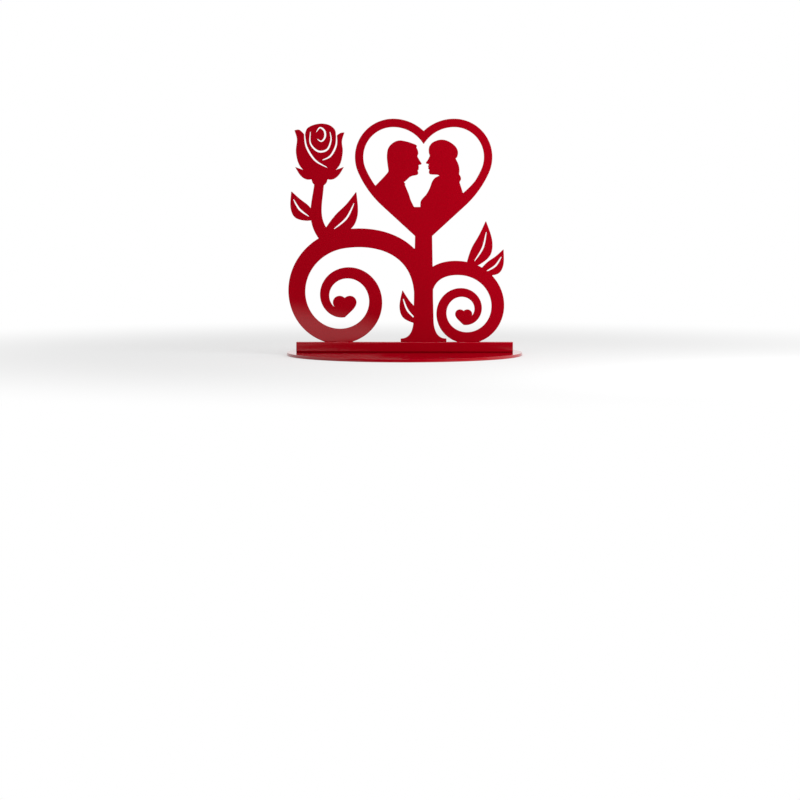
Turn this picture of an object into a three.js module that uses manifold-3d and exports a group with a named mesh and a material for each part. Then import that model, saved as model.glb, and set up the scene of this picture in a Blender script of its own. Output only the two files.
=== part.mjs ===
// A red powder-coated steel cake topper: an ornamental sheet, cut by laser, that stands with three tabs
// in a slotted bar on a thin round base plate. X runs to the right, Y away from the viewer and Z up.
// The origin is at the centre of the plate's underside. All lengths are in millimetres.

import * as THREE from 'three';
import { mergeVertices } from 'three/addons/utils/BufferGeometryUtils.js';
import Module from 'manifold-3d';

const wasm = await Module();
wasm.setup();

// Base plate
const plateDiameter = 118;
const plateThickness = 1.5;
const plateSides = 120;

// Foot bar
const barLength = 108.5;
const barDepth = 6;
const barHeight = 5.2;
const barEdgeRadius = 0.9; // along its four long edges

// Ornamental sheet. Heights in it are counted from the bar's top.
const sheetThickness = 1.5;
const slitWidth = 0.9;
const tabDepth = 4;
const slotClearance = 0.1; // beside and under each tab

// Large heart, a ring round the couple
const heartAcross = 9.5; // the heart's own axis, to the right of the middle
const heartTipHeight = 49;
const heartHeight = 62.4;
const ringWidth = 4.2;
const lobeSpread = 15.2; // from the axis to the middle of a lobe
const notchReach = 2.6; // how far a lobe's inner arc would pass the axis
const shoulderRadius = 19.1; // from the top of a lobe to its side
const flankRadius = 50; // from the side to the straight edge
const edgeFlare = THREE.MathUtils.degToRad(3.56); // from the lobe's tangent out to the straight edge

// Couple
const headHeight = 17.4;
const hisForeheadReach = 2.9; // from the heart's axis
const hisChinHeight = 83.3;
const herForeheadReach = 2.7;
const herChinHeight = 83.6;

// Trunk under the heart
const trunkTopWidth = 8.6;
const trunkWidth = 10;
const trunkFootWidth = 23;
const trunkFootRim = 1.6;
const trunkFootHeight = 12;
const trunkTabWidth = 14;

// Scrolls on each side of the trunk, each with a small heart in its eye
const footBite = 0.8; // how deep the bar's top cuts into a round scroll
const leftScroll = {
  hand: 1,
  across: -30,
  crestRadius: 29.5,
  eyeRadius: 8,
  turns: 1.5,
  rootWidth: 9.4,
  crestWidth: 9.4,
  eyeWidth: 3.6,
  rootHeight: 22,
  rootReach: 24,
  crestReach: 20,
  eyeHeartHeight: 10.8,
  tabWidth: 8,
};
const rightScroll = {
  hand: -1,
  across: 29.6,
  crestRadius: 21,
  eyeRadius: 5.8,
  turns: 1.5,
  rootWidth: 8,
  crestWidth: 7,
  eyeWidth: 3,
  rootHeight: 20,
  rootReach: 16,
  crestReach: 8,
  eyeHeartHeight: 7.8,
  tabWidth: 6.5,
};

// Rose on a stem, left of the heart
const roseAcross = -42.5;
const roseTopHeight = 109;
const roseHeight = 26;
const roseWidth = 25;
const roseHipDiameter = 8;
const roseHipDrop = 1.5;
const stemRootTurn = 0.039; // of a turn, from the left scroll's crest
const stemRootWidth = 6.5;
const stemTopWidth = 4.6;
const stemSway = 6.5; // how far the stem's lower bend is drawn out to the left of the rose
const sepalLength = 13;
const sepalWidth = 4.4;
const sepalLift = THREE.MathUtils.degToRad(20);
const sepalBendShare = 0.14;

// Leaves: where each one starts along the stem, or in turns from the right scroll's crest, its size
// and the way that it points, counted from +X
const stemLeaves = [
  { startShare: 0.13, length: 27, width: 10.5, points: THREE.MathUtils.degToRad(52), bendShare: -0.16 },
  { startShare: 0.36, length: 19, width: 9, points: THREE.MathUtils.degToRad(132), bendShare: 0.16 },
];
const crestLeaves = [
  { startTurn: 0.01, length: 26, width: 10, points: THREE.MathUtils.degToRad(68), bendShare: -0.14 },
  { startTurn: 0.06, length: 17.5, width: 8, points: THREE.MathUtils.degToRad(44), bendShare: -0.18 },
];
const trunkLeaf = { height: 9, length: 20, width: 8, points: THREE.MathUtils.degToRad(122), bendShare: 0.16 };

// Fasteners
const plateScrewDiameter = 2.5;
const plateScrewLength = 5;
const plateScrewHeadRim = 0.2;
const plateScrewHeadCover = 0.1; // from the head's cone to the plate's top
const plateScrewHexAcross = 1.5;
const plateScrewHexDepth = 0.9;
const plateScrewSink = 0.1; // how far the head lies inside the plate
const plateScrewClearance = 0.2; // round the shank, in the plate
const plateScrewTapExtra = 0.5; // how much deeper than the screw its tapped hole is
const grubScrewDiameter = 2;
const grubScrewLength = 2;
const grubScrewHexAcross = 0.9;
const grubScrewHexDepth = 1;
const pointChamfer = 0.3;
const seatClearance = 0.05; // round threads and between a screw and its seat
const screwSides = 32;

const cutOverrun = 1; // how far a cutter passes the face that it cuts
const curveSteps = 10; // in half of an arc
const smallCurveSteps = 4; // in half of a small arc
const outlineSteps = 4; // between two points of an outline
const spiralSteps = 84;
const leadSteps = 18;

const barTop = plateThickness + barHeight;
const upright = Math.PI / 2;
const fullTurn = Math.PI * 2;

// The crown is the arc from the heart's notch to the top of a lobe. The straight edge, counted from upright,
// lies a little outside the line from the tip that touches the lobe.
const crownRadius = lobeSpread + ringWidth + notchReach;
const shoulderLift = heartHeight - shoulderRadius;
const shoulderSlope = Math.asin(shoulderRadius / Math.hypot(lobeSpread, shoulderLift));
const edgeSlope = Math.atan2(lobeSpread, shoulderLift) + shoulderSlope + edgeFlare;

const group = new THREE.Group();

// Solids

function toSolid(geometry) {
  const bare = geometry.clone();
  bare.deleteAttribute('normal');
  bare.deleteAttribute('uv');
  const merged = mergeVertices(bare);
  return new wasm.Manifold(
    new wasm.Mesh({
      numProp: 3,
      vertProperties: new Float32Array(merged.attributes.position.array),
      triVerts: new Uint32Array(merged.index.array),
    }),
  );
}

function toGeometry(solid) {
  const mesh = solid.getMesh();
  const geometry = new THREE.BufferGeometry();
  geometry.setAttribute('position', new THREE.BufferAttribute(mesh.vertProperties, 3));
  geometry.setIndex(new THREE.BufferAttribute(mesh.triVerts, 1));
  geometry.computeVertexNormals();
  return geometry;
}

function addPiece(name, solid, material) {
  const mesh = new THREE.Mesh(toGeometry(solid), material);
  mesh.name = name;
  group.add(mesh);
  return mesh;
}

function joined(solids) {
  return solids.reduce((whole, solid) => whole.add(solid));
}

function boxSolid(size, centre) {
  const geometry = new THREE.BoxGeometry(size.x, size.y, size.z);
  geometry.translate(centre.x, centre.y, centre.z);
  return toSolid(geometry);
}

// A piece of the sheet, drawn across X and up Y, with its thickness towards +Z.
function flatSolid(shape, { at = spot(0, 0), turn = 0, overrun = 0, steps = curveSteps } = {}) {
  const geometry = new THREE.ExtrudeGeometry(shape, {
    depth: sheetThickness + overrun * 2,
    bevelEnabled: false,
    curveSegments: steps,
  });
  geometry.rotateZ(turn);
  geometry.translate(at.x, at.y, -overrun);
  return toSolid(geometry);
}

// Outlines

function spot(x, y) {
  return new THREE.Vector2(x, y);
}

function spot3(x, y, z) {
  return new THREE.Vector3(x, y, z);
}

function heading(angle, length = 1) {
  return spot(Math.cos(angle), Math.sin(angle)).multiplyScalar(length);
}

function oblongShape(width, from, to) {
  const half = width / 2;
  return new THREE.Shape([spot(-half, from), spot(half, from), spot(half, to), spot(-half, to)]);
}

// A band follows a centre line and has a width of its own at each of the line's points.
function bandShape(line, widths) {
  const left = [];
  const right = [];
  const last = line.length - 1;
  line.forEach((point, i) => {
    const along = line[Math.min(i + 1, last)].clone().sub(line[Math.max(i - 1, 0)]).normalize();
    const aside = spot(-along.y, along.x).multiplyScalar(widths[i] / 2);
    left.push(point.clone().add(aside));
    right.unshift(point.clone().sub(aside));
  });
  return new THREE.Shape([...left, ...right]);
}

function taperedBand(line, firstWidth, lastWidth) {
  const width = (_, i) => THREE.MathUtils.lerp(firstWidth, lastWidth, i / (line.length - 1));
  return bandShape(line, line.map(width));
}

// A slit is widest in its middle and narrows to its ends.
const slitEndShare = 0.3;
function slitShape(line) {
  const swell = (i) => Math.sin((Math.PI * i) / (line.length - 1));
  const width = (_, i) => slitWidth * THREE.MathUtils.lerp(slitEndShare, 1, swell(i));
  return bandShape(line, line.map(width));
}

// A closed outline of smooth runs. Each run starts where the last one ended and meets it in a corner.
function runShape(runs, place) {
  let start = place(runs.at(-1).at(-1));
  const points = [];
  for (const run of runs) {
    const spots = [start, ...run.map(place)];
    const steps = run.length === 1 ? 1 : run.length * outlineSteps;
    points.push(...new THREE.SplineCurve(spots).getPoints(steps).slice(1));
    start = spots.at(-1);
  }
  return new THREE.Shape(points);
}

function smoothLine(shares, place) {
  return new THREE.SplineCurve(shares.map(place)).getPoints((shares.length - 1) * outlineSteps);
}

// Heart: each half is two arcs over the lobe, a long arc down the flank and a straight edge to the tip.
// It is drawn with its tip at the origin, and an inset moves the outline inwards.
function heartShape(height, inset = 0) {
  const scale = height / heartHeight;
  const spread = lobeSpread * scale;
  const crown = crownRadius * scale;
  const shoulder = shoulderRadius * scale;
  const flank = flankRadius * scale;
  const crownCentre = spot(-spread, height - crown);
  const shoulderCentre = spot(-spread, height - shoulder);

  // The flank's arc touches both the straight edge and the shoulder's arc.
  const along = heading(upright + edgeSlope);
  const inward = heading(edgeSlope);
  const reach = inward.clone().multiplyScalar(flank).sub(shoulderCentre);
  const half = reach.dot(along);
  const run = -half - Math.sqrt(half ** 2 - reach.lengthSq() + (flank - shoulder) ** 2);
  const flankCentre = inward.clone().multiplyScalar(flank).addScaledVector(along, run);

  const notch = Math.acos(spread / (crown - inset));
  const shoulderEnd = Math.PI + flankCentre.clone().sub(shoulderCentre).angle();
  const flankEnd = Math.PI + edgeSlope;
  const shape = new THREE.Shape();
  shape.absarc(crownCentre.x, crownCentre.y, crown - inset, notch, upright);
  shape.absarc(shoulderCentre.x, shoulderCentre.y, shoulder - inset, upright, shoulderEnd);
  shape.absarc(flankCentre.x, flankCentre.y, flank - inset, shoulderEnd, flankEnd);
  shape.lineTo(0, inset / Math.sin(edgeSlope));
  shape.absarc(-flankCentre.x, flankCentre.y, flank - inset, Math.PI - flankEnd, Math.PI - shoulderEnd);
  shape.absarc(-shoulderCentre.x, shoulderCentre.y, shoulder - inset, Math.PI - shoulderEnd, upright);
  shape.absarc(-crownCentre.x, crownCentre.y, crown - inset, upright, Math.PI - notch);
  return shape;
}

// Couple: shares of the head's height, forwards from the forehead and up from the chin

const hisRunsShares = [
  [[0.7, -0.91]],
  [[0.7, -2.4]],
  [[-2.2, -2.4]],
  [[-2.2, -1.3]],
  [[-1.215, -0.3], [-0.92, 0.01], [-0.85, 0.1]],
  [[-0.848, 0.16], [-0.872, 0.33], [-0.888, 0.557], [-0.848, 0.774], [-0.712, 0.926], [-0.53, 0.994],
    [-0.3, 0.958], [-0.13, 0.9], [-0.052, 0.867], [-0.02, 0.83]],
  [[-0.042, 0.795]],
  [[-0.012, 0.74], [0.008, 0.68], [0.014, 0.61], [-0.01, 0.545], [0.024, 0.472], [0.066, 0.4],
    [0.104, 0.345]],
  [[0.108, 0.322], [0.088, 0.302], [0.05, 0.296], [0.024, 0.284]],
  [[0.022, 0.262], [0.035, 0.238], [0.034, 0.219], [0.012, 0.206]],
  [[0.027, 0.19], [0.026, 0.167], [0.004, 0.143], [0, 0.118], [0.012, 0.085], [0.011, 0.045], [-0.014, 0.012],
    [-0.065, -0.006], [-0.15, -0.02], [-0.235, -0.06], [-0.31, -0.13], [-0.395, -0.205]],
  [[-0.352, -0.252]],
  [[-0.37, -0.275]],
  [[-0.318, -0.4], [-0.262, -0.53], [-0.2, -0.72], [-0.107, -0.91]],
];
const herRunsShares = [
  [[0.25, -2.4]],
  [[-2.2, -2.4]],
  [[-2.2, -1.4]],
  [[-1.45, 0.02]],
  [[-1.36, -0.13], [-1.24, -0.278], [-1.104, -0.417], [-0.976, -0.531]],
  [[-0.875, -0.215]],
  [[-0.916, -0.145], [-0.91, -0.07], [-0.864, 0.014]],
  [[-0.874, 0.12], [-0.848, 0.28], [-0.762, 0.464]],
  [[-0.81, 0.51], [-0.83, 0.65], [-0.77, 0.79], [-0.64, 0.905], [-0.5, 0.975], [-0.36, 1],
    [-0.22, 0.975], [-0.09, 0.91], [-0.012, 0.815]],
  [[0.008, 0.74], [0.01, 0.67], [0.002, 0.605], [-0.018, 0.54], [0.008, 0.472], [0.046, 0.405],
    [0.086, 0.352]],
  [[0.09, 0.33], [0.072, 0.311], [0.038, 0.304], [0.015, 0.292]],
  [[0.013, 0.268], [0.03, 0.242], [0.029, 0.223], [0.007, 0.208]],
  [[0.025, 0.192], [0.023, 0.168], [0, 0.145], [-0.005, 0.12], [0.005, 0.088], [0.003, 0.048], [-0.02, 0.015],
    [-0.07, 0], [-0.16, -0.003], [-0.24, -0.008], [-0.296, -0.028]],
  [[-0.235, -0.058], [-0.16, -0.105], [-0.085, -0.21], [-0.02, -0.388], [0.078, -0.566], [0.19, -0.69],
    [0.242, -0.78], [0.25, -0.91]],
];

function figureSolid(runs, facing, foreheadReach, chinHeight) {
  const forehead = heartAcross - facing * foreheadReach;
  const place = ([ahead, up]) => spot(forehead + facing * headHeight * ahead, chinHeight + headHeight * up);
  return flatSolid(runShape(runs, place));
}

function heartPanel() {
  const tip = spot(heartAcross, heartTipHeight);
  const whole = flatSolid(heartShape(heartHeight), { at: tip });
  const hollow = flatSolid(heartShape(heartHeight, ringWidth), { at: tip, overrun: cutOverrun });
  const couple = figureSolid(hisRunsShares, 1, hisForeheadReach, hisChinHeight).add(
    figureSolid(herRunsShares, -1, herForeheadReach, herChinHeight),
  );
  return whole.subtract(hollow).add(couple.intersect(whole));
}

// Trunk: nearly straight, with a foot that flares on the bar
function trunkSolid() {
  const shape = new THREE.Shape();
  const top = heartTipHeight + trunkTopWidth / 2 / Math.tan(edgeSlope);
  shape.moveTo(-trunkFootWidth / 2, 0);
  shape.lineTo(trunkFootWidth / 2, 0);
  shape.lineTo(trunkFootWidth / 2, trunkFootRim);
  shape.quadraticCurveTo(trunkWidth / 2, trunkFootRim, trunkWidth / 2, trunkFootHeight);
  shape.lineTo(trunkTopWidth / 2, top);
  shape.lineTo(-trunkTopWidth / 2, top);
  shape.lineTo(-trunkWidth / 2, trunkFootHeight);
  shape.quadraticCurveTo(-trunkWidth / 2, trunkFootRim, -trunkFootWidth / 2, trunkFootRim);
  return flatSolid(shape, { at: spot(heartAcross, 0) });
}

// Scrolls: a spiral that tightens evenly from its crest, straight above the eye
const bottomTurns = 0.5;

function spiralRadius(scroll, turned) {
  return scroll.crestRadius * (scroll.eyeRadius / scroll.crestRadius) ** (turned / scroll.turns);
}

function spiralWidth(scroll, turned) {
  return THREE.MathUtils.lerp(scroll.crestWidth, scroll.eyeWidth, turned / scroll.turns);
}

function eyeCentre(scroll) {
  const height = spiralRadius(scroll, bottomTurns) + spiralWidth(scroll, bottomTurns) / 2 - footBite;
  return spot(scroll.across, height);
}

function spiralPoint(scroll, turned) {
  const angle = upright + scroll.hand * turned * fullTurn;
  return eyeCentre(scroll).add(heading(angle, spiralRadius(scroll, turned)));
}

// The way that the spiral runs at its crest: sideways, and down as it tightens.
function crestHeading(scroll) {
  const tightening = Math.log(scroll.crestRadius / scroll.eyeRadius) / (scroll.turns * fullTurn);
  return spot(-scroll.hand, -tightening).normalize();
}

// The steps lie closer together where the spiral is wide.
const firstStepShare = 0.6; // of an even step
const heartSinkShare = 0.5; // of the band's width at the eye

function scrollSolid(scroll) {
  const crest = spiralPoint(scroll, 0);
  const root = spot(heartAcross, scroll.rootHeight);
  const lead = new THREE.CubicBezierCurve(
    root,
    root.clone().add(spot(0, scroll.rootReach)),
    crest.clone().addScaledVector(crestHeading(scroll), -scroll.crestReach),
    crest,
  ).getPoints(leadSteps);
  const line = lead.slice(0, -1);
  const widths = line.map((_, i) => THREE.MathUtils.lerp(scroll.rootWidth, scroll.crestWidth, i / leadSteps));
  for (let i = 0; i <= spiralSteps; i += 1) {
    const share = i / spiralSteps;
    const turnedBy = scroll.turns * share * THREE.MathUtils.lerp(firstStepShare, 1, share);
    line.push(spiralPoint(scroll, turnedBy));
    widths.push(spiralWidth(scroll, turnedBy));
  }

  // The heart's tip hides the band's end.
  const heartTip = line.at(-1).clone().add(spot(0, -scroll.eyeWidth * heartSinkShare));
  const heart = flatSolid(heartShape(scroll.eyeHeartHeight), { at: heartTip, steps: smallCurveSteps });
  return flatSolid(bandShape(line, widths)).add(heart);
}

// Leaves: a pointed oval, bent to one side, with a slit for its midrib
const leafSideShares = [[0, 0], [0.16, 0.62], [0.42, 1], [0.7, 0.7], [1, 0]];
const leafRibShares = [[0.2, 0], [0.5, 0], [0.8, 0]];

function leafPlace(leaf) {
  const bow = (along) => leaf.length * leaf.bendShare * along * (1 - along) * 4;
  return ([along, aside]) => spot(leaf.length * along, (leaf.width / 2) * aside + bow(along));
}

function plainLeaf(leaf, at) {
  const place = leafPlace(leaf);
  const edge = (side) => smoothLine(leafSideShares, ([along, aside]) => place([along, side * aside]));
  const outline = new THREE.Shape([...edge(-1), ...edge(1).slice(1, -1).reverse()]);
  return flatSolid(outline, { at, turn: leaf.points });
}

function ribbedLeaf(leaf, at) {
  const rib = slitShape(smoothLine(leafRibShares, leafPlace(leaf)));
  return plainLeaf(leaf, at).subtract(flatSolid(rib, { at, turn: leaf.points, overrun: cutOverrun }));
}

// Rose: shares of half its width and of its height, counted from the foot of the bloom
const bloomRunsShares = [
  [[0.42, 0.03], [0.8, 0.2], [0.93, 0.45], [0.9, 0.66], [1, 0.83]],
  [[0.84, 0.82], [0.66, 0.76]],
  [[0.62, 0.88], [0.4, 0.97], [0.08, 1], [-0.26, 0.97], [-0.5, 0.9], [-0.58, 0.78]],
  [[-0.8, 0.88], [-1, 0.87]],
  [[-0.9, 0.7], [-0.94, 0.45], [-0.8, 0.2], [-0.42, 0.03], [0, 0]],
];
const petalSlitsShares = [
  [[-0.6, 0.84], [-0.52, 0.56], [-0.18, 0.3], [0.3, 0.16]],
  [[0.68, 0.8], [0.66, 0.58], [0.44, 0.38], [0.12, 0.3]],
  [[-0.36, 0.84], [-0.36, 0.62], [-0.06, 0.47], [0.3, 0.5], [0.46, 0.68], [0.42, 0.84]],
  [[-0.12, 0.84], [0.02, 0.92], [0.2, 0.86], [0.22, 0.74], [0.08, 0.66], [-0.08, 0.7]],
];

const roseFoot = spot(roseAcross, roseTopHeight - roseHeight);

function bloomSolid() {
  const place = ([across, up]) => spot((roseWidth / 2) * across, roseHeight * up);
  const bloom = flatSolid(runShape(bloomRunsShares, place), { at: roseFoot });
  return petalSlitsShares.reduce((solid, shares) => {
    const slit = slitShape(smoothLine(shares, place));
    return solid.subtract(flatSolid(slit, { at: roseFoot, overrun: cutOverrun }));
  }, bloom);
}

function sepalSolids() {
  return [1, -1].map((side) => {
    const points = upright - side * (upright - sepalLift);
    const bendShare = -side * sepalBendShare;
    return plainLeaf({ length: sepalLength, width: sepalWidth, points, bendShare }, roseFoot);
  });
}

// The stem bows out to the left and ends upright under the rose's hip.
const stemBendShares = [0.33, 0.62]; // of the stem's height
function roseSolid() {
  const root = spiralPoint(leftScroll, stemRootTurn);
  const [lowBend, highBend] = stemBendShares.map((share) => THREE.MathUtils.lerp(root.y, roseFoot.y, share));
  const stemLine = new THREE.CubicBezierCurve(
    root,
    spot(roseAcross - stemSway, lowBend),
    spot(roseAcross, highBend),
    roseFoot,
  );
  const stem = taperedBand(stemLine.getPoints(leadSteps), stemRootWidth, stemTopWidth);
  const hip = new THREE.Shape().absarc(0, 0, roseHipDiameter / 2, 0, fullTurn);
  const hipSolid = flatSolid(hip, { at: roseFoot.clone().add(spot(0, -roseHipDrop)) });
  const leaves = stemLeaves.map((leaf) => ribbedLeaf(leaf, stemLine.getPoint(leaf.startShare)));
  return joined([flatSolid(stem), hipSolid, bloomSolid(), ...sepalSolids(), ...leaves]);
}

// Tabs under the sheet, one for each foot on the bar
const tabs = [
  { across: leftScroll.across, width: leftScroll.tabWidth },
  { across: heartAcross, width: trunkTabWidth },
  { across: rightScroll.across, width: rightScroll.tabWidth },
];

function tabSolid(tab) {
  return flatSolid(oblongShape(tab.width, -tabDepth, footBite), { at: spot(tab.across, 0) });
}

function ornamentSheet() {
  const crestSpray = crestLeaves.map((leaf) => ribbedLeaf(leaf, spiralPoint(rightScroll, leaf.startTurn)));
  const drawn = joined([
    heartPanel(),
    trunkSolid(),
    scrollSolid(leftScroll),
    scrollSolid(rightScroll),
    roseSolid(),
    ribbedLeaf(trunkLeaf, spot(heartAcross, trunkLeaf.height)),
    ...crestSpray,
  ]);

  // The scrolls are cut flat where they stand on the bar.
  const underside = oblongShape(barLength, -footBite - cutOverrun, 0);
  const standing = drawn.subtract(flatSolid(underside, { overrun: cutOverrun }));
  return joined([standing, ...tabs.map(tabSolid)]);
}

// Round pieces: a profile of radii and heights, turned about Z
function turned(profile, sides = screwSides) {
  const lathe = new THREE.LatheGeometry(profile.map(([radius, height]) => spot(radius, height)), sides);
  return lathe.rotateX(upright);
}

const hexSides = 6;
function hexPrism(acrossFlats, from, to) {
  const radius = acrossFlats / 2 / Math.cos(Math.PI / hexSides);
  const geometry = new THREE.CylinderGeometry(radius, radius, to - from, hexSides);
  return geometry.rotateX(upright).translate(0, 0, (from + to) / 2);
}

function cylinderProfile(radius, from, to) {
  return [[0, from], [radius, from], [radius, to], [0, to]];
}

// Plate screws: midway from the tabs to the bar's ends, flat head down, with heights counted from the head
const tabReach = Math.max(...tabs.map((tab) => Math.abs(tab.across) + tab.width / 2));
const plateScrewAcross = (tabReach + barLength / 2) / 2;
const plateScrewPlaces = [-plateScrewAcross, plateScrewAcross];
const plateScrewRadius = plateScrewDiameter / 2;
const plateScrewHeadHeight = plateThickness - plateScrewSink - plateScrewHeadCover;
const plateScrewHeadRadius = plateScrewRadius + plateScrewHeadHeight - plateScrewHeadRim;

function plateScrewSolid(across) {
  const shank = turned([
    [0, 0],
    [plateScrewHeadRadius, 0],
    [plateScrewHeadRadius, plateScrewHeadRim],
    [plateScrewRadius, plateScrewHeadHeight],
    [plateScrewRadius, plateScrewLength - pointChamfer],
    [plateScrewRadius - pointChamfer, plateScrewLength],
    [0, plateScrewLength],
  ]);
  const socket = hexPrism(plateScrewHexAcross, -cutOverrun, plateScrewHexDepth);
  const lift = (geometry) => toSolid(geometry.translate(across, 0, plateScrewSink));
  return lift(shank).subtract(lift(socket));
}

// Base plate: a disc with a countersunk hole for each plate screw
function basePlate() {
  const radius = plateDiameter / 2;
  const disc = toSolid(turned(cylinderProfile(radius, 0, plateThickness), plateSides));
  const holeRadius = plateScrewRadius + plateScrewClearance;
  const mouthRadius = plateScrewHeadRadius + seatClearance;
  const rimTop = plateScrewSink + plateScrewHeadRim;
  const hole = [
    [0, -cutOverrun],
    [mouthRadius, -cutOverrun],
    [mouthRadius, rimTop],
    [holeRadius, rimTop + mouthRadius - holeRadius],
    [holeRadius, plateThickness + cutOverrun],
    [0, plateThickness + cutOverrun],
  ];
  return plateScrewPlaces.reduce(
    (solid, across) => solid.subtract(toSolid(turned(hole).translate(across, 0, 0))),
    disc,
  );
}

// Foot bar: rounded along its edges, with a slot for each tab, a tapped hole behind each slot and one above
// each plate screw
const grubScrewHeight = plateThickness + barHeight / 2;
const grubScrewPoint = sheetThickness / 2 + seatClearance;

function alongY(geometry, tab) {
  return toSolid(geometry.rotateX(-upright).translate(tab.across, 0, grubScrewHeight));
}

function plainBar() {
  const up = barHeight / 2 - barEdgeRadius;
  const across = barDepth / 2 - barEdgeRadius;
  const section = new THREE.Shape();
  section.absarc(up, across, barEdgeRadius, 0, upright);
  section.absarc(-up, across, barEdgeRadius, upright, Math.PI);
  section.absarc(-up, -across, barEdgeRadius, Math.PI, Math.PI + upright);
  section.absarc(up, -across, barEdgeRadius, Math.PI + upright, fullTurn);
  const geometry = new THREE.ExtrudeGeometry(section, {
    depth: barLength,
    bevelEnabled: false,
    curveSegments: smallCurveSteps,
  });
  return toSolid(geometry.rotateY(upright).translate(-barLength / 2, 0, plateThickness + barHeight / 2));
}

function footBar() {
  const slotFloor = barTop - tabDepth - slotClearance;
  const slotHeight = barTop + cutOverrun - slotFloor;
  const slots = tabs.map((tab) =>
    boxSolid(
      spot3(tab.width + slotClearance * 2, sheetThickness + slotClearance * 2, slotHeight),
      spot3(tab.across, 0, slotFloor + slotHeight / 2),
    ),
  );
  const grubHole = cylinderProfile(grubScrewDiameter / 2 + seatClearance, 0, barDepth / 2 + cutOverrun);
  const grubHoles = tabs.map((tab) => alongY(turned(grubHole), tab));
  const tapTop = plateScrewSink + plateScrewLength + plateScrewTapExtra;
  const tapped = cylinderProfile(plateScrewRadius + seatClearance, plateThickness - cutOverrun, tapTop);
  const tappedHoles = plateScrewPlaces.map((across) => toSolid(turned(tapped).translate(across, 0, 0)));
  const cutters = [...slots, ...grubHoles, ...tappedHoles];
  return cutters.reduce((solid, cutter) => solid.subtract(cutter), plainBar());
}

// Grub screw: it presses on its tab from behind, with its socket towards the back.
function grubScrewSolid(tab) {
  const radius = grubScrewDiameter / 2;
  const back = grubScrewPoint + grubScrewLength;
  const body = turned([
    [0, grubScrewPoint],
    [radius - pointChamfer, grubScrewPoint],
    [radius, grubScrewPoint + pointChamfer],
    [radius, back],
    [0, back],
  ]);
  const socket = hexPrism(grubScrewHexAcross, back - grubScrewHexDepth, back + cutOverrun);
  return alongY(body, tab).subtract(alongY(socket, tab));
}

const red = new THREE.MeshStandardMaterial({ color: 0xa60015, roughness: 0.3, metalness: 0 });
const steel = new THREE.MeshStandardMaterial({ color: 0xb9babc, roughness: 0.35, metalness: 1 });

const sheet = addPiece('ornament_sheet', ornamentSheet(), red);
sheet.rotation.x = upright;
sheet.position.set(0, sheetThickness / 2, barTop);

addPiece('foot_bar', footBar(), red);
addPiece('base_plate', basePlate(), red);
plateScrewPlaces.forEach((across, i) => addPiece(`plate_screw_${i + 1}`, plateScrewSolid(across), steel));
tabs.forEach((tab, i) => addPiece(`grub_screw_${i + 1}`, grubScrewSolid(tab), steel));

export default group;
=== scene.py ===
import math

import bmesh
import bpy
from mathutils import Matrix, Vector


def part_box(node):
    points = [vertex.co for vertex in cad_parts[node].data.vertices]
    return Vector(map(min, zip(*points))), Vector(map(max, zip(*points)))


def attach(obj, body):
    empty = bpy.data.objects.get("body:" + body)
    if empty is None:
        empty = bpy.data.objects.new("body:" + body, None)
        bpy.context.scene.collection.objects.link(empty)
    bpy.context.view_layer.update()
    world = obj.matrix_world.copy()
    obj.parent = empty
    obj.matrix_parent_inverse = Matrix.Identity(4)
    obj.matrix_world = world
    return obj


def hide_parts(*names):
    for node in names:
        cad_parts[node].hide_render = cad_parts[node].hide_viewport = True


# Red powder-coated cake topper on a pale floor. Blender units are metres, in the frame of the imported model.
# Lengths are written in millimetres, angles in degrees and the power of a lamp in watts.

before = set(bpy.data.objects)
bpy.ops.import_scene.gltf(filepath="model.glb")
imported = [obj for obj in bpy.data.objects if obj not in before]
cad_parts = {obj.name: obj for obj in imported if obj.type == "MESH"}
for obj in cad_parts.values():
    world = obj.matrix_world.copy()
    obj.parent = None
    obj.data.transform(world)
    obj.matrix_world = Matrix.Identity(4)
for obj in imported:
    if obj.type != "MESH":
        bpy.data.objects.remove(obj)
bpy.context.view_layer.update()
print("frame loaded:", len(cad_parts), "nodes")

mm = 0.001
weldWithin = 0.0005  # points nearer to each other are one
scene = bpy.context.scene


# sRGB hex to linear RGBA
def hexColour(code):
    shares = [int(code[i:i + 2], 16) / 255 for i in (1, 3, 5)]
    linear = [s / 12.92 if s <= 0.04045 else ((s + 0.055) / 1.055) ** 2.4 for s in shares]
    return (*linear, 1.0)


def patternScale(featureSize):
    return 1 / (featureSize * mm)


def addNode(tree, kind, settings=None, links=None):
    node = tree.nodes.new(kind)
    for key, value in (settings or {}).items():
        if isinstance(key, int) or key in node.inputs:
            node.inputs[key].default_value = value
        else:
            setattr(node, key, value)
    for key, source in (links or {}).items():
        tree.links.new(source, node.inputs[key])
    return node


# the colour sockets of a Mix node go by number, because its sockets for numbers have the same names
mixSockets = {"factor": 0, "first": 6, "second": 7, "result": 2}


def newMaterial(name):
    material = bpy.data.materials.new(name)
    material.use_nodes = True
    material.node_tree.nodes.clear()
    return material, material.node_tree


def linkNew(name, data):
    thing = bpy.data.objects.new(name, data)
    scene.collection.objects.link(thing)
    return thing


# turns a camera or a lamp towards a point
def pointAt(thing, aim):
    thing.rotation_mode = "QUATERNION"
    thing.rotation_quaternion = (aim - thing.location).to_track_quat("-Z", "Y")


# the mesh of an object with its modifiers, or of a curve with its thickness
def finishedMesh(thing, name):
    mesh = bpy.data.meshes.new_from_object(thing.evaluated_get(bpy.context.evaluated_depsgraph_get()))
    mesh.name = name
    return mesh


# A flat face shines evenly: its corners point straight out, and the rounded edges blend into it.
# The larger a face, the later it has its say.
flatFromShare = 0.99999  # the least share of a flat face's normal along X, Y or Z


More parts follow.
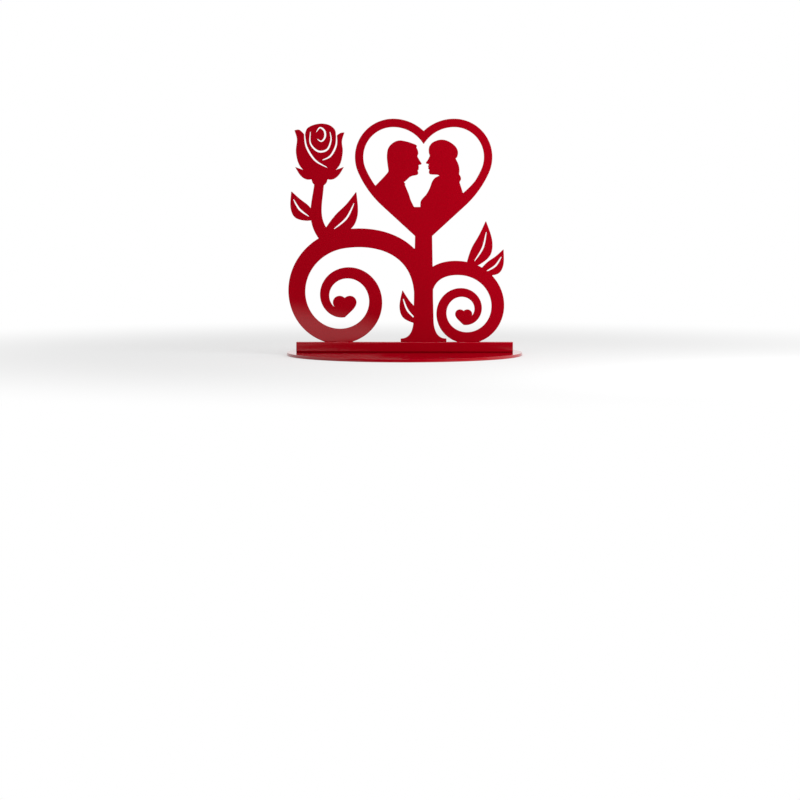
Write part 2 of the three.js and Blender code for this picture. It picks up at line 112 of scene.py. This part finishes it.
def evenNormals(mesh):
    normals = [vertex.normal.copy() for vertex in mesh.vertices]
    for face in sorted(mesh.polygons, key=lambda polygon: polygon.area):
        if max(abs(part) for part in face.normal) > flatFromShare:
            for corner in face.vertices:
                normals[corner] = face.normal.copy()
    mesh.shade_smooth()
    mesh.normals_split_custom_set_from_vertices(normals)


# Camera: the photograph's long lens, almost level with the topper, a little above it
view = {
    "sensor": 36.0,
    "lens": 143.5,
    "distance": 1600,
    "elevation": 3.5,
    "across": -2.3,  # the topper stands a little right of the picture's middle
    "aimDrop": 22.65,  # the picture's middle lies below the base plate
}


def makeCamera():
    data = bpy.data.cameras.new("camera")
    data.lens = view["lens"]
    data.sensor_width = view["sensor"]
    camera = linkNew("camera", data)
    tilt = math.radians(view["elevation"])
    back = Vector((0, -math.cos(tilt), math.sin(tilt))) * view["distance"] * mm
    side = Vector((view["across"] * mm, 0, 0))
    camera.location = side + back
    pointAt(camera, side - Vector((0, 0, view["aimDrop"] * mm)))
    scene.camera = camera


makeCamera()
print("camera placed")

# Powder coat: epoxy-polyester powder, baked on steel. It gives a glossy red with a faint orange peel.
# Its grain is too fine to see from a step away, so it is drawn as coarse as it needs to show.
coat = {
    "colour": "#a60015",
    "thinColour": "#a00013",  # where the film is thinnest
    "patchSize": 14.0,  # slow drift of the film's thickness
    "patchDetail": 2.0,
    "roughness": 0.08,
    "roughnessSpread": 0.015,
    "ior": 1.45,
    "peelSize": 2.4,  # orange peel, crest to crest
    "peelHeight": 0.002,
    "peelDetail": 1.0,
    "grainSize": 0.3,
    "grainHeight": 0.0005,
    "grainDetail": 2.0,
}


def powderCoat():
    material, tree = newMaterial("red powder coat")
    place = addNode(tree, "ShaderNodeTexCoord").outputs["Object"]
    patch = addNode(tree, "ShaderNodeTexNoise", {
        "Scale": patternScale(coat["patchSize"]),
        "Detail": coat["patchDetail"],
    }, {"Vector": place})
    tint = addNode(tree, "ShaderNodeMix", {
        "data_type": "RGBA",
        mixSockets["first"]: hexColour(coat["colour"]),
        mixSockets["second"]: hexColour(coat["thinColour"]),
    }, {mixSockets["factor"]: patch.outputs["Fac"]})
    peel = addNode(tree, "ShaderNodeTexNoise", {
        "Scale": patternScale(coat["peelSize"]),
        "Detail": coat["peelDetail"],
    }, {"Vector": place})
    grain = addNode(tree, "ShaderNodeTexNoise", {
        "Scale": patternScale(coat["grainSize"]),
        "Detail": coat["grainDetail"],
    }, {"Vector": place})
    gloss = addNode(tree, "ShaderNodeMapRange", {
        "To Min": coat["roughness"] - coat["roughnessSpread"],
        "To Max": coat["roughness"] + coat["roughnessSpread"],
    }, {"Value": grain.outputs["Fac"]})
    peelBump = addNode(tree, "ShaderNodeBump", {"Distance": coat["peelHeight"] * mm},
                       {"Height": peel.outputs["Fac"]})
    grainBump = addNode(tree, "ShaderNodeBump", {"Distance": coat["grainHeight"] * mm},
                        {"Height": grain.outputs["Fac"], "Normal": peelBump.outputs["Normal"]})
    skin = addNode(tree, "ShaderNodeBsdfPrincipled", {"IOR": coat["ior"]}, {
        "Base Color": tint.outputs[mixSockets["result"]],
        "Roughness": gloss.outputs["Result"],
        "Normal": grainBump.outputs["Normal"],
    })
    addNode(tree, "ShaderNodeOutputMaterial", links={"Surface": skin.outputs["BSDF"]})
    return material


# Stainless steel: turned and tumbled screws. Tumbling leaves a fine mottle that softens their shine.
steel = {
    "colour": "#c3c4c6",
    "metallic": 1.0,
    "roughness": 0.3,
    "roughnessSpread": 0.08,
    "mottleSize": 0.25,
    "mottleHeight": 0.002,
    "mottleDetail": 3.0,
}


def stainlessSteel():
    material, tree = newMaterial("stainless steel")
    place = addNode(tree, "ShaderNodeTexCoord").outputs["Object"]
    mottle = addNode(tree, "ShaderNodeTexNoise", {
        "Scale": patternScale(steel["mottleSize"]),
        "Detail": steel["mottleDetail"],
    }, {"Vector": place})
    gloss = addNode(tree, "ShaderNodeMapRange", {
        "To Min": steel["roughness"] - steel["roughnessSpread"],
        "To Max": steel["roughness"] + steel["roughnessSpread"],
    }, {"Value": mottle.outputs["Fac"]})
    bump = addNode(tree, "ShaderNodeBump", {"Distance": steel["mottleHeight"] * mm},
                   {"Height": mottle.outputs["Fac"]})
    metal = addNode(tree, "ShaderNodeBsdfPrincipled", {
        "Base Color": hexColour(steel["colour"]),
        "Metallic": steel["metallic"],
    }, {"Roughness": gloss.outputs["Result"], "Normal": bump.outputs["Normal"]})
    addNode(tree, "ShaderNodeOutputMaterial", links={"Surface": metal.outputs["BSDF"]})
    return material


redCoat = powderCoat()
screwSteel = stainlessSteel()
print("materials made")

# Ornament sheet: cut by laser, so its outline is exact, and the baked coat rounds each edge and corner
sheet = {
    "edgeRadius": 0.2,
    "edgeSteps": 2,
    "cornerRadius": 0.25,
    "cornerTurn": 24.0,  # a sharper turn is a corner
    "cornerReachShare": 0.45,  # the most of a side that one corner takes
    "smoothHandleShare": 1 / 3,  # Bezier handles on a smooth stretch, of the side's length
    "sideHandleShare": 0.1,  # the same beside a corner
    "arcHandleShare": 0.55,  # handles in a corner's arc, of its reach: they keep it round
    "outlineSteps": 4,
    "frontFromShare": 0.99,  # the least part of a front face's normal that points at the viewer
}


# the closed outlines of a sheet's front, as lists of (x, z)
def outlineLoops(node):
    mesh = bmesh.new()
    mesh.from_mesh(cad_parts[node].data)
    bmesh.ops.remove_doubles(mesh, verts=mesh.verts, dist=weldWithin * mm)
    front = [face for face in mesh.faces if face.normal.y < -sheet["frontFromShare"]]
    inFront = set(front)
    onward = {}
    for face in front:
        for loop in face.loops:
            if not any(other in inFront for other in loop.edge.link_faces if other is not face):
                onward[loop.vert] = loop.link_loop_next.vert
    loops = []
    while onward:
        start, vert = onward.popitem()
        ring = [start]
        while vert != start:
            ring.append(vert)
            vert = onward.pop(vert)
        loops.append([Vector((v.co.x, v.co.z)) for v in ring])
    mesh.free()
    return loops


# the sides that meet at a point of an outline, and how far it turns there
def sidesAt(points, i):
    before = points[i] - points[i - 1]
    after = points[(i + 1) % len(points)] - points[i]
    return before, after, before.angle(after)


# the outline without the points that lie within a corner's rounding: there the sharper corner counts alone
def clearOfCorners(points):
    corner = math.radians(sheet["cornerTurn"])
    near = sheet["cornerRadius"] * mm
    sides = [sidesAt(points, i) for i in range(len(points))]
    kept = []
    for i, (before, after, turn) in enumerate(sides):
        neighbours = [(before, sides[i - 1][2]), (after, sides[(i + 1) % len(points)][2])]
        rivals = [other for side, other in neighbours if side.length < near and other > corner]
        if turn >= max(rivals, default=0):
            kept.append(points[i])
    return kept


# one Bezier point (left handle, point, right handle) on a smooth stretch
def smoothKnots(point, before, after):
    along = (before + after).normalized() * sheet["smoothHandleShare"]
    return [(point - along * before.length, point, point + along * after.length)]


# two Bezier points, where a corner's small arc begins and ends
def cornerKnots(point, before, after, turn):
    reach = min(sheet["cornerRadius"] * mm * math.tan(turn / 2),
                before.length * sheet["cornerReachShare"],
                after.length * sheet["cornerReachShare"])
    first = point - before.normalized() * reach
    last = point + after.normalized() * reach
    pull = reach * sheet["arcHandleShare"]
    side = sheet["sideHandleShare"]
    return [
        (first - before * side, first, first + before.normalized() * pull),
        (last - after.normalized() * pull, last, last + after * side),
    ]


def roundedLoop(points):
    knots = []
    for i, point in enumerate(points):
        before, after, turn = sidesAt(points, i)
        if turn < math.radians(sheet["cornerTurn"]):
            knots += smoothKnots(point, before, after)
        else:
            knots += cornerKnots(point, before, after, turn)
    return knots


def ornamentSheet():
    low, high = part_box("ornament_sheet")
    radius = sheet["edgeRadius"] * mm
    curve = bpy.data.curves.new("ornament", "CURVE")
    curve.dimensions = "2D"
    curve.fill_mode = "BOTH"
    curve.extrude = (high.y - low.y) / 2 - radius
    curve.bevel_depth = radius
    curve.bevel_resolution = sheet["edgeSteps"]
    curve.offset = -radius
    for points in outlineLoops("ornament_sheet"):
        rounded = roundedLoop(clearOfCorners(points))
        spline = curve.splines.new("BEZIER")
        spline.use_cyclic_u = True
        spline.resolution_u = sheet["outlineSteps"]
        spline.bezier_points.add(len(rounded) - 1)
        for knot, (left, spot, right) in zip(spline.bezier_points, rounded):
            knot.handle_left_type = knot.handle_right_type = "FREE"
            knot.handle_left = left.to_3d()
            knot.co = spot.to_3d()
            knot.handle_right = right.to_3d()
    drawn = linkNew("ornament_curve", curve)
    mesh = finishedMesh(drawn, "ornament")
    bpy.data.objects.remove(drawn)
    # the curve is drawn lying down: here it stands up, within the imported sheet's box
    middle = (low.y + high.y) / 2
    for vertex in mesh.vertices:
        x, z, y = vertex.co
        vertex.co = (min(max(x, low.x), high.x), middle - y, min(max(z, low.z), high.z))
    mesh.materials.clear()
    mesh.materials.append(redCoat)
    evenNormals(mesh)
    piece = linkNew("ornament", mesh)
    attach(piece, "root")
    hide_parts("ornament_sheet")
    print("ornament sheet made:", len(mesh.polygons), "faces")


ornamentSheet()

# Bar, plate and screws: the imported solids, with the soft edges that the coat or the tumbling gives them
bar = {"edgeRadius": 0.2, "edgeSteps": 3}
plate = {"edgeRadius": 0.15, "edgeSteps": 3}
screws = {"edgeRadius": 0.05, "edgeSteps": 2}
softening = {
    "flatWithin": 0.5,  # faces nearer than this to one plane are joined
    "edgeFrom": 40.0,  # a sharper turn is an edge
}


def softenedPiece(name, node, settings, coating):
    piece = linkNew(name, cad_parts[node].data.copy())
    weld = piece.modifiers.new("weld", "WELD")
    weld.merge_threshold = weldWithin * mm
    flats = piece.modifiers.new("flats", "DECIMATE")
    flats.decimate_type = "DISSOLVE"
    flats.angle_limit = math.radians(softening["flatWithin"])
    bevel = piece.modifiers.new("soft edges", "BEVEL")
    bevel.width = settings["edgeRadius"] * mm
    bevel.segments = settings["edgeSteps"]
    bevel.limit_method = "ANGLE"
    bevel.angle_limit = math.radians(softening["edgeFrom"])
    bevel.use_clamp_overlap = False
    seam = piece.modifiers.new("seams", "WELD")  # where two rounded edges meet
    seam.merge_threshold = weldWithin * mm
    mesh = finishedMesh(piece, name)
    mesh.materials.clear()
    mesh.materials.append(coating)
    evenNormals(mesh)
    piece.modifiers.clear()
    piece.data = mesh
    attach(piece, "root")
    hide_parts(node)


softenedPiece("bar", "foot_bar", bar, redCoat)
softenedPiece("plate", "base_plate", plate, redCoat)
print("bar and plate made")

for i in (1, 2):
    softenedPiece(f"flat_head_screw_{i}", f"plate_screw_{i}", screws, screwSteel)
for i in (1, 2, 3):
    softenedPiece(f"set_screw_{i}", f"grub_screw_{i}", screws, screwSteel)
print("screws made")

# Pale floor, white surroundings and soft studio light
studio = {
    "whiteColour": "#ffffff",
    "whiteStrength": 1.0,  # shows as white and no brighter
    "skyStrength": 0.41,
    "floorSize": 6000,
    "floorDrop": 0.02,  # the floor lies just clear of the plate
    "floorColour": "#e8e8e8",
    "nearWhiteShare": 0.4,  # plain white in the floor near the topper, for the camera and for gloss
    "fadeFrom": 120,  # the floor turns wholly white between these distances from the topper
    "fadeTo": 360,
    "aimHeight": 60,  # where the lamps point, over the plate's centre
    "key": {"place": (260, -200, 110), "size": 220, "power": 0.78},
    "top": {"place": (0, -150, 900), "size": 700, "power": 3.7},
}


# 1 for camera, mirrored and transmitted rays, so that metal and gloss show the white surroundings too
def whiteForViewRays(tree):
    rays = addNode(tree, "ShaderNodeLightPath")
    seen = addNode(tree, "ShaderNodeMath", {"operation": "MAXIMUM"},
                   {0: rays.outputs["Is Camera Ray"], 1: rays.outputs["Is Glossy Ray"]})
    return addNode(tree, "ShaderNodeMath", {"operation": "MAXIMUM"},
                   {0: seen.outputs["Value"], 1: rays.outputs["Is Transmission Ray"]}).outputs["Value"]


def makeWorld():
    world = bpy.data.worlds.new("white studio")
    world.use_nodes = True
    tree = world.node_tree
    tree.nodes.clear()
    strength = addNode(tree, "ShaderNodeMapRange", {
        "To Min": studio["skyStrength"],
        "To Max": studio["whiteStrength"],
    }, {"Value": whiteForViewRays(tree)})
    sky = addNode(tree, "ShaderNodeBackground", {"Color": hexColour(studio["whiteColour"])},
                  {"Strength": strength.outputs["Result"]})
    addNode(tree, "ShaderNodeOutputWorld", links={"Surface": sky.outputs["Background"]})
    scene.world = world


def flatCard(name, corners, material):
    mesh = bpy.data.meshes.new(name)
    mesh.from_pydata([(x * mm, y * mm, 0) for x, y in corners], [], [range(len(corners))])
    mesh.materials.append(material)
    card = linkNew(name, mesh)
    return card


def makeFloor():
    material, tree = newMaterial("pale floor")
    place = addNode(tree, "ShaderNodeTexCoord").outputs["Object"]
    distance = addNode(tree, "ShaderNodeVectorMath", {"operation": "LENGTH"}, {0: place})
    far = addNode(tree, "ShaderNodeMapRange", {
        "interpolation_type": "SMOOTHSTEP",
        "From Min": studio["fadeFrom"] * mm,
        "From Max": studio["fadeTo"] * mm,
        "To Min": studio["nearWhiteShare"],
    }, {"Value": distance.outputs["Value"]})
    white = addNode(tree, "ShaderNodeMath", {"operation": "MULTIPLY"},
                    {0: far.outputs["Result"], 1: whiteForViewRays(tree)})
    lit = addNode(tree, "ShaderNodeBsdfDiffuse", {"Color": hexColour(studio["floorColour"])})
    plain = addNode(tree, "ShaderNodeEmission", {
        "Color": hexColour(studio["whiteColour"]),
        "Strength": studio["whiteStrength"],
    })
    blend = addNode(tree, "ShaderNodeMixShader", links={
        0: white.outputs["Value"],
        1: lit.outputs["BSDF"],
        2: plain.outputs["Emission"],
    })
    addNode(tree, "ShaderNodeOutputMaterial", links={"Surface": blend.outputs["Shader"]})
    half = studio["floorSize"] / 2
    floor = flatCard("floor", [(-half, -half), (half, -half), (half, half), (-half, half)], material)
    floor.location.z = -studio["floorDrop"] * mm


# A dark card stands in front of the topper, seen by its gloss alone: a painted dark reflection that
# keeps the red deep. Its thin place paints a pale reflection of the white studio at the lower left.
darkCard = {
    "distance": 60,
    "width": 1000,
    "height": 500,
    "colour": "#0c0c0c",
    # edges of the thin place, which paints the pale reflection at the lower left of the topper
    "paleReflectionEdges": [
        {"across": -30, "up": 15, "wayOut": 80, "softness": 12},
        {"across": -14, "up": 8, "wayOut": 0, "softness": 12},
        {"across": -41, "up": 3.0, "wayOut": -84, "softness": 3.2},
    ],
}


# 1 on the near side of a soft straight edge and 0 beyond it
def insideEdge(tree, place, edge):
    way = math.radians(edge["wayOut"])
    out = Vector((math.cos(way), math.sin(way), 0))
    reach = addNode(tree, "ShaderNodeVectorMath", {"operation": "DOT_PRODUCT", 1: out}, {0: place})
    middle = out.dot(Vector((edge["across"], edge["up"], 0)))
    return addNode(tree, "ShaderNodeMapRange", {
        "interpolation_type": "SMOOTHSTEP",
        "From Min": (middle + edge["softness"] / 2) * mm,
        "From Max": (middle - edge["softness"] / 2) * mm,
    }, {"Value": reach.outputs["Value"]}).outputs["Result"]


def makeDarkCard():
    material, tree = newMaterial("dark card")
    place = addNode(tree, "ShaderNodeTexCoord").outputs["Object"]
    # where the card thins out to nothing, it paints a pale reflection of the white studio
    paleReflection, *others = [insideEdge(tree, place, edge) for edge in darkCard["paleReflectionEdges"]]
    for inside in others:
        both = addNode(tree, "ShaderNodeMath", {"operation": "MULTIPLY"}, {0: paleReflection, 1: inside})
        paleReflection = both.outputs["Value"]
    cloth = addNode(tree, "ShaderNodeBsdfDiffuse", {"Color": hexColour(darkCard["colour"])})
    air = addNode(tree, "ShaderNodeBsdfTransparent")
    blend = addNode(tree, "ShaderNodeMixShader", links={
        0: paleReflection,
        1: cloth.outputs["BSDF"],
        2: air.outputs["BSDF"],
    })
    addNode(tree, "ShaderNodeOutputMaterial", links={"Surface": blend.outputs["Shader"]})
    half = darkCard["width"] / 2
    top = darkCard["height"]
    standing = flatCard("dark_card", [(-half, 0), (half, 0), (half, top), (-half, top)], material)
    standing.rotation_euler = (math.pi / 2, 0, 0)
    standing.location = (0, -darkCard["distance"] * mm, 0)
    standing.visible_camera = False
    standing.visible_diffuse = False
    standing.visible_shadow = False
    standing.visible_transmission = False


def softBox(name, settings):
    lamp = bpy.data.lights.new(name, "AREA")
    lamp.shape = "SQUARE"
    lamp.size = settings["size"] * mm
    lamp.energy = settings["power"]
    box = linkNew(name, lamp)
    box.visible_camera = False
    box.location = Vector(settings["place"]) * mm
    pointAt(box, Vector((0, 0, studio["aimHeight"] * mm)))


makeWorld()
makeFloor()
makeDarkCard()
softBox("key_box", studio["key"])
softBox("top_box", studio["top"])
scene.view_settings.view_transform = "Standard"
print("studio made")
